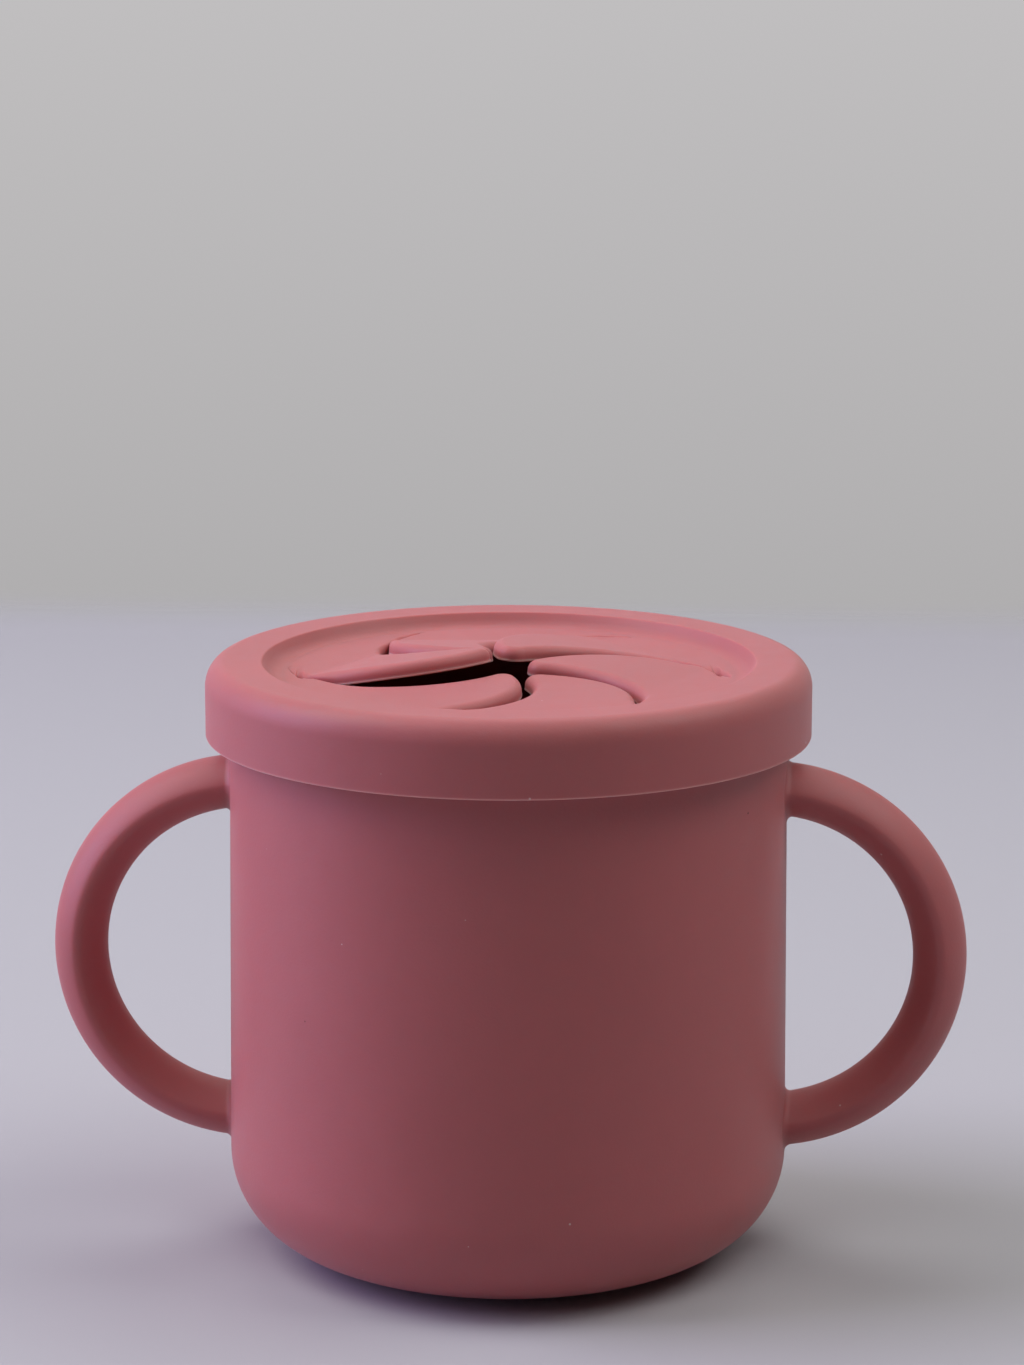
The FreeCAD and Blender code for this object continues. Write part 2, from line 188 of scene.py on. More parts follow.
class MugFlaps(bpy.types.PropertyGroup):
    """Sizes of the slits and the flaps between them."""
    reach: length("Reach", "Lid's axis to a slit's outer end", 0.0286)
    turn: angle("Turn", "Angle of the arc that each slit follows", 120)
    bearing: angle("Bearing", "Direction of the first slit's outer end", 6.9)
    slot: length("Slot", "Width of a slit", 0.001)
    closing: length("Closing", "Radius at which a slit starts to close up towards its end", 0.024)
    closed: length("Closed", "Radius at which it has closed to a hairline", 0.027)
    shut: share("Shut", "Share of its width by which a slit closes up", 0.9)
    narrowing: share("Narrowing", "Share of the edges' rounding that goes as a slit closes", 0.6)
    hole_at: length("Hole radius", "Lid's axis to the round hole that ends a slit", 0.029)
    hole: length("Hole size", "Radius of that hole", 0.0005)
    dimple: length("Dimple", "How far the largest hollow round that hole reaches", 0.0018)
    dimple_depth: share("Dimple depth", "Depth of the largest hollow as a share of the edges' rounding", 0.8)
    pits: FloatVectorProperty(name="Pits", description="Size of the hole and hollow that end each slit", size=6,
                              min=0, max=1, default=(1.0, 0.4, 0.3, 1.0, 0.5, 0.6))
    creases: FloatVectorProperty(name="Creases", description="Share of the edges' depth left where a slit has closed",
                                 size=6, min=0, max=1, default=(0.65, 0.38, 0.38, 0.5, 0.38, 0.38))
    tip_round: length("Tip rounding", "Radius of a flap's tip seen from above", 0.0021)
    edge_round: length("Edge rounding", "Rounding of a flap's upper edges", 0.0013)
    lip: length("Lip", "How far the moulding flash stands out along the lower edges", 0.00005)
    rest_run: length("Rest run", "Length over which a flap at rest rises from its root", 0.0025)
    rest_turns: FloatVectorProperty(name="Rest turns", description="Turn of each flap's rest line from its slit ends",
                                    size=6, unit="ROTATION",
                                    default=[math.radians(turn) for turn in (-1, 5, 5, 5, 5, 5)])
    droop: share("Droop", "How much a flap's slope falls off from root to tip", 0.7)
    rests: FloatVectorProperty(name="Rest tilts", description="How far each flap stands up at rest", size=6,
                               unit="ROTATION",
                               default=[math.radians(tilt) for tilt in (6.9, 7.8, 10.2, 1.9, 0.2, 3.2)])
    pulls: FloatVectorProperty(name="Pulls", description="How far each flap's tip is drawn outwards", size=6,
                               unit="LENGTH", default=(0, 0, -0.0004, 0.0006, 0, 0))
    bend_run: length("Bend run", "Length over which a flap bends when it is pushed", 0.008)
    root: length("Root", "How far outside the hinge line the bending starts", 0.0005)
    fine_from: length("Fine from", "Radius from which the rows of points lie closer", 0.0255)
    tip_rows: count("Tip rows", "Rows of points round a flap's tip", 14)
    rows: count("Rows", "Rows of points from the tip to where they lie closer", 56)
    fine_rows: count("Fine rows", "Rows of points from there to the rim's mesh", 64)
    columns: count("Columns", "Columns of faces across one flap piece, and round a sixth of the rim", 40)
    edge_steps: count("Edge steps", "Faces across the rounding of an edge", 7)


class MugSilicone(bpy.types.PropertyGroup):
    """Colours and finish of the silicone."""
    cup: colour("Cup", "Colour of the cup and its handles", (0.445, 0.12, 0.121))
    lid: colour("Lid", "Colour of the lid", (0.445, 0.122, 0.123))
    flash: colour("Flash", "Colour of the thin flash along moulded edges", (0.62, 0.33, 0.31))
    dust: colour("Dust", "Colour of dust specks", (0.60, 0.44, 0.41))
    dust_spread: number("Dust spread", "Dust specks along a metre", 170)
    dust_size: number("Dust size", "Radius of the largest speck as a share of their spacing", 0.038)
    nick: colour("Nicks", "Colour of tiny dark nicks", (0.10, 0.03, 0.03))
    nick_spread: number("Nick spread", "Nicks along a metre", 120)
    nick_size: number("Nick size", "Radius of the largest nick as a share of their spacing", 0.022)
    mottle: share("Mottling", "How much the colour varies", 0.09)
    roughness: share("Roughness", "Middle roughness of the surface", 0.52)
    uneven: share("Unevenness", "How far the roughness goes above and below its middle", 0.05)
    index: number("Index", "Index of refraction", 1.43)
    sheen: share("Sheen", "Weight of the soft dusty sheen", 0.08)
    sheen_roughness: share("Sheen roughness", "Roughness of the sheen", 0.4)
    sheen_tint: colour("Sheen tint", "Colour of the sheen", (1.0, 0.86, 0.9))
    grain: number("Grain", "Strength of the fine surface grain", 0.22)
    grain_height: length("Grain height", "Height of the surface grain", 0.0001)
    depth: share("Depth", "Share of the light that enters the silicone and comes out nearby", 0.75)
    reach: length("Reach", "How far that light travels", 0.001)
    scatter: FloatVectorProperty(name="Scatter", description="Reach of its red, green and blue", size=3,
                                 default=(1.5, 0.5, 0.4))


class MugStudio(bpy.types.PropertyGroup):
    """Floor, backdrop, lamps and camera."""
    floor: colour("Floor", "Colour of the floor", (0.466, 0.459, 0.479))
    floor_roughness: share("Floor roughness", "Roughness of the floor", 0.7)
    floor_depth: length("Floor depth", "How far the floor reaches behind the mug", 0.5)
    floor_front: length("Floor front", "How far the floor reaches in front of the mug", 1.4)
    floor_side: length("Floor side", "How far the floor reaches to each side", 1.6)
    floor_fade: length("Floor fade", "Length over which its far edge fades out", 0.06)
    backdrop_low: colour("Backdrop, low", "Colour behind the floor's far edge", (0.434, 0.424, 0.429))
    backdrop_high: colour("Backdrop, high", "Colour higher up", (0.533, 0.521, 0.527))
    blend_low: number("Blend, low", "Upward part of the direction in which the low colour ends", -0.185)
    blend_high: number("Blend, high", "Upward part of the direction from which the high colour is full", -0.03)
    ambient: number("Ambient", "Strength of the even light from all round", 0.0)
    high_left: number("High left light", "Watts of the large lamp above on the left", 4.9)
    high_right: number("High right light", "Watts of the large lamp above on the right", 4.0)
    high_back: number("High back light", "Watts of the large lamp above and behind", 2.5)
    high_front: number("High front light", "Watts of the large lamp above and in front", 1.4)
    low_left: number("Low left light", "Watts of the cool lamp low on the left", 26.0)
    low_left_tint: colour("Low left tint", "Colour of that lamp", (0.62, 0.55, 1.0))
    camera: FloatVectorProperty(name="Camera", description="Where the camera stands", size=3, unit="LENGTH",
                                default=(0.0311, -0.5481, 0.1953))
    camera_turn: angle("Camera turn", "Turn of the camera to the left", 3.2)
    camera_pitch: angle("Camera pitch", "Camera's tilt from straight down", 78.19)
    camera_roll: angle("Camera roll", "Roll of the camera", 0.1)
    lens: number("Lens", "Focal length in millimetres", 106.69)


# Mesh building

def bow(centre, radius, first, last, steps):
    """Points (radius, height) on a circle, or an oval of two radii, from one angle to another in degrees."""
    turn = np.radians(np.linspace(first, last, steps + 1))
    return np.array(centre) + radius * np.stack([np.cos(turn), np.sin(turn)], -1)


def run(first, last, steps):
    """Points of a straight run without its two ends, bunched towards them by a cosine."""
    share_along = (1 - np.cos(np.pi * np.arange(1, steps) / steps)) / 2
    first, last = np.array(first), np.array(last)
    return first + (last - first) * share_along[:, None]


def outline(*parts):
    """One profile from bows, joined by straight runs of ten steps."""
    chain = [parts[0]]
    for part in parts[1:]:
        chain += [run(chain[-1][-1], part[0], 10), part]
    return np.concatenate(chain)


def turned(profile, columns, start=0.0):
    """A profile (radius, height) carried round the Z axis: row i and column j hold point i turned by j steps."""
    turn = start + np.arange(columns) * (2 * np.pi / columns)
    radius, height = profile[:, :1], profile[:, 1:]
    return np.stack([radius * np.cos(turn), radius * np.sin(turn), height + 0 * turn], -1)


def grid_faces(rows, columns, rows_close=False):
    """Quads of a grid whose columns close round: the grid of point numbers beside itself, shifted by one."""
    order = np.arange(rows * columns).reshape(rows, columns)
    order = np.concatenate([order, order[:, :1]], 1)
    if rows_close:
        order = np.concatenate([order, order[:1]], 0)
    return np.stack([order[:-1, :-1], order[:-1, 1:], order[1:, 1:], order[1:, :-1]], -1).reshape(-1, 4)


def new_piece(name, points, faces, material, flash=None, sharp=55):
    """Puts arrays into a mesh object, merges the points of seams and poles, and turns all faces outwards."""
    mesh = bpy.data.meshes.new(name)
    mesh.from_pydata(points.reshape(-1, 3), [], faces)
    amounts = np.zeros(len(mesh.vertices), np.float32) if flash is None else flash.astype(np.float32).ravel()
    mesh.attributes.new("flash", "FLOAT", "POINT").data.foreach_set("value", amounts)
    work = bmesh.new()
    work.from_mesh(mesh)
    bmesh.ops.remove_doubles(work, verts=work.verts, dist=MERGE_WITHIN)
    bmesh.ops.dissolve_degenerate(work, edges=work.edges, dist=FLAT_WITHIN)
    bmesh.ops.recalc_face_normals(work, faces=work.faces)
    loose = [edge for edge in work.edges if len(edge.link_faces) != 2]
    if loose:
        raise RuntimeError(f"{name}: {len(loose)} edges without two faces")
    work.to_mesh(mesh)
    work.free()
    mesh.polygons.foreach_set("use_smooth", np.ones(len(mesh.polygons), bool))
    mesh.set_sharp_from_angle(angle=math.radians(sharp))
    mesh.materials.append(material)
    piece = bpy.data.objects.new(name, mesh)
    bpy.context.scene.collection.objects.link(piece)
    return piece


# Shapes

def cup_profile(cup):
    """Half section of the cup: foot, base corner, slightly drawn-in wall, rounded rim, inside wall and floor."""
    flat = cup.base_radius - cup.corner
    foot = flat - cup.foot_set_in
    base = cup.foot_height + cup.corner
    inside = cup.base_radius - cup.wall
    level = cup.foot_height + cup.floor
    inner_corner = inside - flat
    edge, rim = cup.rim_round, cup.base_radius - cup.flare
    top = cup.height - edge
    return outline(
        np.array([[0, 0]]),
        bow((foot - cup.foot_round, cup.foot_round), cup.foot_round, -90, 0, 5),
        np.array([[foot, cup.foot_height]]),
        bow((flat, base), cup.corner, -90, 0, 40),
        bow((rim - edge, top), edge, 0, 90, 8),
        bow((rim - cup.wall + edge, top), edge, 90, 180, 8),
        bow((flat, level + inner_corner), inner_corner, 0, -90, 30),
        np.array([[0, level]]),
    )


def wall_radius(cup, height):
    """Outside radius of the cup's wall: it draws in evenly from above the base corner to below the rim."""
    base = cup.foot_height + cup.corner
    return cup.base_radius - cup.flare * (height - base) / (cup.height - cup.rim_round - base)


def handle_points(cup, handles):
    """The right-hand ring handle: an oval section carried round a circle from wall to wall.

    The section is |a / A|^m + |b / B|^n = 1 with everything moved out along its normals by the ridges' rounding, A
    and B being half the thickness and width less that rounding. Where m is under 2 it has a ridge at the front and
    back. Each of its lines along the ring runs between the two angles at which it meets the wall, found by Newton's
    rule. Within a fillet's radius r of the wall, a point s away from it moves out along the section's normal by
    r - sqrt(r^2 - (r - s)^2), and slides along X so that the end lies on the wall. A sunk ring and a pole inside the
    wall close each end.
    """
    half, broad = handles.thickness / 2 - handles.ridge_round, handles.width / 2 - handles.ridge_round
    ring = HANDLE_HIGH.x - handles.reach - handles.thickness / 2
    even = np.arange(handles.columns) * (2 * np.pi / handles.columns)
    turn = even + handles.crowding / 2 * np.sin(2 * even)
    cosine, sine = np.cos(turn), np.sin(turn)
    ridge, side = handles.ridge_power, handles.side_power
    radial = half * np.sign(cosine) * np.abs(cosine) ** (2 / ridge)
    across = broad * np.sign(sine) * np.abs(sine) ** (2 / side)
    lean = np.stack([ridge / half * np.sign(cosine) * np.abs(cosine) ** (2 - 2 / ridge),
                     side / broad * np.sign(sine) * np.abs(sine) ** (2 - 2 / side)])
    lean = lean / np.linalg.norm(lean, axis=0)
    across = across + handles.ridge_round * lean[1]
    reach = ring + radial + handles.ridge_round * lean[0]

    def gap(at):
        """Distance from the wall of the section's lines at these ring angles."""
        height = handles.level + reach * np.sin(at)
        return np.hypot(handles.reach + reach * np.cos(at), across) - wall_radius(cup, height)

    def meeting(at, tiny=1e-5, rounds=8):
        """Newton's rule for the ring angle at which each line meets the wall."""
        for _ in range(rounds):
            at = at - gap(at) * 2 * tiny / (gap(at + tiny) - gap(at - tiny))
        return at

    low = meeting(np.full(handles.columns, -handles.first_guess))
    high = meeting(np.full(handles.columns, handles.first_guess))
    fillet = handles.fillet
    near = fillet * (1 - np.cos(np.linspace(0, np.pi / 2, handles.fillet_rows)))[:, None] / reach
    middle = np.linspace(0, 1, handles.rows)[1:-1, None]
    first, last = low + near[-1], high - near[-1]
    along = np.concatenate([low + near, first + (last - first) * middle, (high - near)[::-1]])
    away = np.minimum(along - low, high - along) * reach
    short = np.clip(fillet - away, 0, fillet)
    swell = fillet - np.sqrt(fillet ** 2 - short ** 2)
    out = reach + swell * lean[0]
    points = np.stack([handles.reach + out * np.cos(along), across + swell * lean[1] + 0 * along,
                       handles.level + out * np.sin(along)], -1)
    ends = points[[0, -1]]
    on_wall = np.sqrt(wall_radius(cup, ends[..., 2]) ** 2 - ends[..., 1] ** 2)
    slide = np.where(along < 0, (on_wall - ends[..., 0])[0], (on_wall - ends[..., 0])[1])
    points[..., 0] += slide * (short / fillet) ** 2
    sunk = points[[0, -1]] - (handles.sink, 0, 0)
    pole = np.broadcast_to(sunk.mean(1, keepdims=True), sunk.shape)
    return np.concatenate([pole[:1], sunk[:1], points, sunk[1:], pole[1:]])


def rim_profile(lid):
    """Closed half section of the lid's rim, and how much flash shows at each of its points.

    It runs from the skirt's lower edge up the outside, over the deck, which falls a little towards the crest, down a
    straight slope between a small bow and a larger hollow one to the sunk floor, and back along the underside, the
    plug and the inside of the skirt. The hollow bow's place follows from the slope's lean and both roundings.
    """
    skirt_low, skirt_in = lid.top - lid.skirt_depth, lid.radius - lid.skirt_wall
    edge, deep, small, plug = lid.edge_round, lid.edge_depth, lid.skirt_round, lid.plug_round
    under, floor, brow = lid.top - lid.deck, lid.top - lid.slope_drop, lid.top - lid.crest_drop
    lean, tight, wide = lid.slope_lean, lid.crest_round, lid.slope_foot
    bows = (tight + wide) * (1 - math.cos(lean))
    slope_end = lid.crest - (tight + wide) * math.sin(lean) - (brow - floor - bows) / math.tan(lean)
    fall = math.degrees(math.atan2(lid.crest_drop, lid.radius - edge - lid.crest))
    steep = math.degrees(lean)
    plug_in, plug_low = lid.plug_radius - lid.plug_wall, RIM_LOW.z
    parts = [
        bow((lid.radius - small, skirt_low + small), small, -90, 0, 6),
        bow((lid.radius - edge, lid.top - deep), (edge, deep), 0, 90 + fall, 20),
        bow((lid.crest, brow - tight), tight, 90 + fall, 90 + steep, 12),
        bow((slope_end, floor + wide), wide, -90 + steep, -90, 12),
        np.array([[lid.join, floor]]),
        np.array([[lid.join, floor - lid.web]]),
        np.array([[plug_in, floor - lid.web]]),
        bow((plug_in + plug, plug_low + plug), plug, 180, 270, 5),
        bow((lid.plug_radius - plug, plug_low + plug), plug, -90, 0, 5),
        bow((lid.plug_radius + plug, under - plug), plug, 180, 90, 5),
        bow((skirt_in - plug, under - plug), plug, 90, 0, 5),
        bow((skirt_in + small, skirt_low + small), small, 180, 270, 6),
    ]
    profile = outline(*parts)
    set_in = 0.3 * small
    from_edge = np.abs(profile - (lid.radius - set_in, skirt_low + set_in)).sum(1)
    return profile, np.exp(-((from_edge / small) ** 2))


def round_end(share_along):
    """A quarter circle from one down to nothing, for slits that narrow to a rounded end."""
    return np.sqrt(np.clip(1 - np.clip(share_along, 0, 1) ** 2, 0, 1))


def ease(share_along):
    """The smooth step 3t^2 - 2t^3."""
    share_along = np.clip(share_along, 0, 1)
    return share_along ** 2 * (3 - 2 * share_along)


def flap_points(lid, flaps, index):
    """One sixth of the sunk floor, as loops round its section at growing distances from the lid's axis.

    Slit k follows a circle through the axis and the slit's outer end. At distance p from the axis, a line d inside
    the flap's edge lies on a circle of radius q about the same centre C, so its angle is that of C plus
    arccos((p^2 + |C|^2 - q^2) / (2 p |C|)): q is the slit's radius plus half the slot and d on the hollow edge and
    minus them on the bulging edge. Nearer to the axis than the touching points, the line lies on the tip's own
    circle instead. The upper edges are quarter circles and the lower edges carry a thin lip of flash. Towards its
    outer end the slit closes up to a crease, and opens again into a small round hole in a round hollow. Beyond the
    hollow, neighbouring sixths meet flush.
    """
    floor, web = lid.top - lid.slope_drop, lid.web
    swing = flaps.reach / (2 * math.sin(flaps.turn / 2))
    half, tip, edge = flaps.slot / 2, flaps.tip_round, flaps.edge_round
    hollow = flaps.bearing + STEP_ROUND * index + flaps.turn / 2 - math.pi / 2
    bulge = hollow + STEP_ROUND
    centre_a = swing * np.array([math.cos(hollow), math.sin(hollow)])
    centre_b = swing * np.array([math.cos(bulge), math.sin(bulge)])
    apart = np.linalg.norm(centre_b - centre_a)
    forward = (centre_b - centre_a) / apart
    inward = np.array([-forward[1], forward[0]])
    inward *= -np.sign(inward @ centre_a)
    outer, inner = swing + half + tip, swing - half - tip
    along = (outer ** 2 - inner ** 2 + apart ** 2) / (2 * apart)
    tip_at = centre_a + along * forward + math.sqrt(outer ** 2 - along ** 2) * inward
    tip_far, tip_turn = np.hypot(*tip_at), math.atan2(tip_at[1], tip_at[0])
    tip_turn += 2 * math.pi * round((bulge + math.pi / 3 - tip_turn) / (2 * math.pi))

    nose = tip_far - tip * np.cos(np.linspace(0, np.pi / 2, flaps.tip_rows))
    far = np.concatenate([nose, np.linspace(tip_far, flaps.fine_from, flaps.rows)[1:],
                          np.linspace(flaps.fine_from, lid.join, flaps.fine_rows)[1:]])
    past = far - flaps.hole_at
    closing = ease((far - flaps.closing) / (flaps.closed - flaps.closing))
    fade = round_end(past / flaps.dimple)
    dish = round_end(np.abs(past) / flaps.dimple)
    pit = {1: flaps.pits[index], -1: flaps.pits[(index + 1) % FLAPS]}
    crease = {1: flaps.creases[index], -1: flaps.creases[(index + 1) % FLAPS]}
    open_half = half * (1 - flaps.shut * closing) * (past < 0)
    hole = flaps.hole * round_end(np.abs(past) / flaps.hole)
    edge_wide = edge * (1 - flaps.narrowing * flaps.shut * closing)
    narrow, wide, deep = {}, {}, {}
    for side in pit:
        narrow[side] = np.maximum(open_half, hole * pit[side])
        wide[side] = np.maximum(edge_wide, flaps.dimple * pit[side] * dish)[:, None]
        sunk = np.maximum(1 - (1 - crease[side]) * closing, flaps.dimple_depth * pit[side] * dish)
        deep[side] = edge * (fade * sunk)[:, None]

    def edge_angle(inset, side):
        """Angle, at each distance, of the line that lies inset inside the hollow (+1) or bulging (-1) edge."""
        base, centre = (hollow, centre_a) if side > 0 else (bulge, centre_b)
        p, inset = far[:, None], np.broadcast_to(inset, (len(far), np.shape(inset)[-1]))
        q = swing + side * (narrow[side][:, None] + inset)
        on_slit = base + np.arccos(np.clip((p ** 2 + swing ** 2 - q ** 2) / (2 * p * swing), -1, 1))
        q_tip = tip - inset
        on_tip = tip_turn - side * np.arccos(
            np.clip((p ** 2 + tip_far ** 2 - q_tip ** 2) / (2 * p * tip_far), -1, 1))
        from_centre = tip_at - centre
        touch = centre + from_centre * ((swing + side * (half + inset)) / np.linalg.norm(from_centre))[..., None]
        return np.where(p < np.linalg.norm(touch, axis=-1), on_tip, on_slit)

    bend = np.linspace(0, np.pi / 2, flaps.edge_steps + 1)
    room = np.where(far < tip_far, np.clip(tip - tip_far + far, 0, None), tip)[:, None]
    inset = {side: wide[side] * (1 - np.cos(bend)) for side in wide}
    reachable = np.minimum(inset[1], room)
    cut = 1 - np.sqrt(1 - (1 - np.minimum(reachable / edge, 1)) ** 2)
    rounded = np.where(inset[1] > reachable, cut, 1 - np.sin(bend))
    side_a, side_b = edge_angle(inset[1], 1), edge_angle(inset[-1], -1)
    across = np.linspace(0, 1, flaps.columns + 3 - 2 * len(bend))[None, 1:-1]
    middle = side_a[:, -1:] + (side_b[:, -1:] - side_a[:, -1:]) * across
    flat = (deep[1] + (deep[-1] - deep[1]) * across) * rounded[:, -1:]
    top_turn = np.concatenate([side_a, middle, side_b[:, ::-1]], 1)
    top_drop = np.concatenate([deep[1] * rounded, flat, deep[-1] * rounded[:, ::-1]], 1)
    even = np.linspace(0, 1, top_turn.shape[1])
    level = side_a[:, :1] + (side_b[:, :1] - side_a[:, :1]) * even
    settle = ease((past - flaps.dimple) / (lid.join - flaps.hole_at - flaps.dimple))[:, None]
    top_turn = top_turn + (level - top_turn) * settle
    top_high = floor - top_drop

    proud = (fade * ease((far - far[0]) / (2 * flaps.lip)))[:, None] * flaps.lip
    wall_a, wall_b = edge_angle(-proud * SIDE_STANDS, 1), edge_angle(-proud * SIDE_STANDS, -1)
    low_a, low_b = edge_angle(proud / 2, 1), edge_angle(proud / 2, -1)
    low_turn = low_a + (low_b - low_a) * even
    high = np.repeat((floor - web + SIDE_HEIGHTS)[None], len(far), 0)
    high[-1] = floor
    low_high = np.full_like(low_turn, floor - web)

    turn = np.concatenate([top_turn, wall_b, low_turn[:, ::-1], wall_a[:, ::-1]], 1)
    z = np.concatenate([top_high, high, low_high, high[:, ::-1]], 1)
    p = np.repeat(far[:, None], turn.shape[1], 1)
    points = np.stack([p * np.cos(turn), p * np.sin(turn), z], -1)
    low_flash = UNDER_FLASH * np.exp(-((np.minimum(even, 1 - even) / UNDER_FADE) ** 2))
    flash = np.concatenate([np.zeros(len(even)), SIDE_FLASH, low_flash, SIDE_FLASH[::-1]]) * fade[:, None]

    tops, walls = len(even), len(SIDE_HEIGHTS)
    first = (len(far) - 1) * turn.shape[1]
    upper = first + np.arange(tops)
    lower = first + tops + walls + np.arange(tops)[::-1]
    cap = np.stack([upper[:-1], upper[1:], lower[1:], lower[:-1]], -1)
    return points, np.concatenate([grid_faces(*turn.shape), cap]), flash


def bent(points, lid, flaps, index):
    """Rolls a sheet up about a line from its second slit end across to its first slit, steepest near that root.

    At a distance s inside the line, the slope is ease(s / run) (1 + droop (1/2 - s / length)), scaled so that the tip
    rises as high as a stiff plate's would. A point s inside the line and h above the mid-plane goes to the sum of
    cos(slope) less h sin(slope), and to the sum of sin(slope) plus h cos(slope). Beyond the slit ends nothing moves.
    """
    turn = flaps.rest_turns[index]
    bearing = flaps.bearing + STEP_ROUND * (index + 0.5) - turn
    middle = lid.top - lid.slope_drop - lid.web / 2
    outward = np.array([math.cos(bearing), math.sin(bearing)])
    still = 1 - ease((np.hypot(points[..., 0], points[..., 1]) - flaps.reach) / flaps.dimple)
    root = flaps.reach * math.cos(STEP_ROUND / 2 + turn)
    inside = np.clip(root - points[..., :2] @ outward, 0, None) * still
    table = np.linspace(0, inside.max(), 501)
    slope = ease(table / flaps.rest_run) * (1 + flaps.droop * (0.5 - table / table[-1]))
    slope *= flaps.rests[index] / slope.mean()
    half_way = (slope[1:] + slope[:-1]) / 2
    level = np.concatenate([[0], np.cumsum(np.cos(half_way)) * table[1]])
    rise = np.concatenate([[0], np.cumsum(np.sin(half_way)) * table[1]])
    lean, height = np.interp(inside, table, slope), points[..., 2] - middle
    moved = np.interp(inside, table, level) - height * np.sin(lean)
    points[..., :2] += (inside - moved + flaps.pulls[index] * inside / table[-1])[..., None] * outward
    points[..., 2] = middle + np.interp(inside, table, rise) + height * np.cos(lean)
    return points


# Materials

def add(tree, kind, values=None, **settings):
    """A new node with its settings and its sockets' values."""
    node = tree.nodes.new(kind)
    for name, value in settings.items():
        setattr(node, name, value)
    for name, value in (values or {}).items():
        node.inputs[name].default_value = value
    return node


def group(name, inputs, outputs):
    """A new shader node group with named sockets; returns it with its input and output nodes."""
    tree = bpy.data.node_groups.new(name, "ShaderNodeTree")
    for title, kind, default in inputs:
        socket = tree.interface.new_socket(name=title, in_out="INPUT", socket_type=kind)
        if default is not None:
            socket.default_value = default
    for title, kind in outputs:
        tree.interface.new_socket(name=title, in_out="OUTPUT", socket_type=kind)
    return tree, tree.nodes.new("NodeGroupInput"), tree.nodes.new("NodeGroupOutput")


def mottle_group():
    """Soft clouds in the colour: two noises, 25 mm and 4 mm wide, lighten and darken the tone by up to Depth."""
    tree, given, put = group(
        "silicone_mottle",
        [("Position", "NodeSocketVector", None), ("Tone", "NodeSocketColor", (0.5, 0.1, 0.1, 1)),
         ("Depth", "NodeSocketFloat", 0.1)],
        [("Tone", "NodeSocketColor"), ("Cloud", "NodeSocketFloat")])
    wide = add(tree, "ShaderNodeTexNoise", {"Scale": 40, "Detail": 2, "Roughness": 0.5})
    fine = add(tree, "ShaderNodeTexNoise", {"Scale": 260, "Detail": 3, "Roughness": 0.6})
    cloud = add(tree, "ShaderNodeMix", {"Factor": 0.4}, data_type="FLOAT")
    centred = add(tree, "ShaderNodeMath", {1: 0.5}, operation="SUBTRACT")
    scaled = add(tree, "ShaderNodeMath", operation="MULTIPLY")
    doubled = add(tree, "ShaderNodeMath", {1: 2.0, 2: 1.0}, operation="MULTIPLY_ADD")
    toned = add(tree, "ShaderNodeVectorMath", operation="SCALE")
    link = tree.links.new
    link(given.outputs["Position"], wide.inputs["Vector"])
    link(given.outputs["Position"], fine.inputs["Vector"])
    link(wide.outputs["Fac"], cloud.inputs["A"])
    link(fine.outputs["Fac"], cloud.inputs["B"])
    link(cloud.outputs["Result"], centred.inputs[0])
    link(centred.outputs[0], scaled.inputs[0])
    link(given.outputs["Depth"], scaled.inputs[1])
    link(scaled.outputs[0], doubled.inputs[0])
    link(given.outputs["Tone"], toned.inputs[0])
    link(doubled.outputs[0], toned.inputs["Scale"])
    link(toned.outputs[0], put.inputs["Tone"])
    link(cloud.outputs["Result"], put.inputs["Cloud"])
    return tree


def grain_group():
    """Height of the surface grain: a fine noise of 0.4 mm over a slow unevenness of 9 mm."""
    tree, given, put = group("silicone_grain", [("Position", "NodeSocketVector", None)],
                             [("Height", "NodeSocketFloat")])
    fine = add(tree, "ShaderNodeTexNoise", {"Scale": 2600, "Detail": 2, "Roughness": 0.6})
    slow = add(tree, "ShaderNodeTexNoise", {"Scale": 110, "Detail": 1, "Roughness": 0.4})
    both = add(tree, "ShaderNodeMath", {1: 5.0}, operation="MULTIPLY_ADD")
    link = tree.links.new
    link(given.outputs["Position"], fine.inputs["Vector"])
    link(given.outputs["Position"], slow.inputs["Vector"])
    link(slow.outputs["Fac"], both.inputs[0])
    link(fine.outputs["Fac"], both.inputs[2])
    link(both.outputs[0], put.inputs["Height"])
    return tree


def speck_group():
    """Mask of small specks: one spot about each point of a scatter, its size drawn from the point's own number."""
    tree, given, put = group(
        "silicone_specks",
        [("Position", "NodeSocketVector", None), ("Spread", "NodeSocketFloat", 200.0),
         ("Size", "NodeSocketFloat", 0.03)],
        [("Mask", "NodeSocketFloat")])
    scatter = add(tree, "ShaderNodeTexVoronoi", {"Randomness": 1.0}, feature="F1")
    channels = add(tree, "ShaderNodeSeparateColor")
    size = add(tree, "ShaderNodeMath", operation="MULTIPLY")
    ratio = add(tree, "ShaderNodeMath", operation="DIVIDE")
    soft = add(tree, "ShaderNodeMapRange", {"From Min": 0.6, "From Max": 1.0, "To Min": 1.0, "To Max": 0.0})
    link = tree.links.new
    link(given.outputs["Position"], scatter.inputs["Vector"])
    link(given.outputs["Spread"], scatter.inputs["Scale"])
    link(scatter.outputs["Color"], channels.inputs[0])
    link(channels.outputs[0], size.inputs[0])
    link(given.outputs["Size"], size.inputs[1])
    link(scatter.outputs["Distance"], ratio.inputs[0])
    link(size.outputs[0], ratio.inputs[1])
    link(ratio.outputs[0], soft.inputs["Value"])
    link(soft.outputs["Result"], put.inputs["Mask"])
    return tree


def shared_group(name, make):
    """The node group of that name, made the first time it is asked for."""
    return bpy.data.node_groups.get(name) or make()


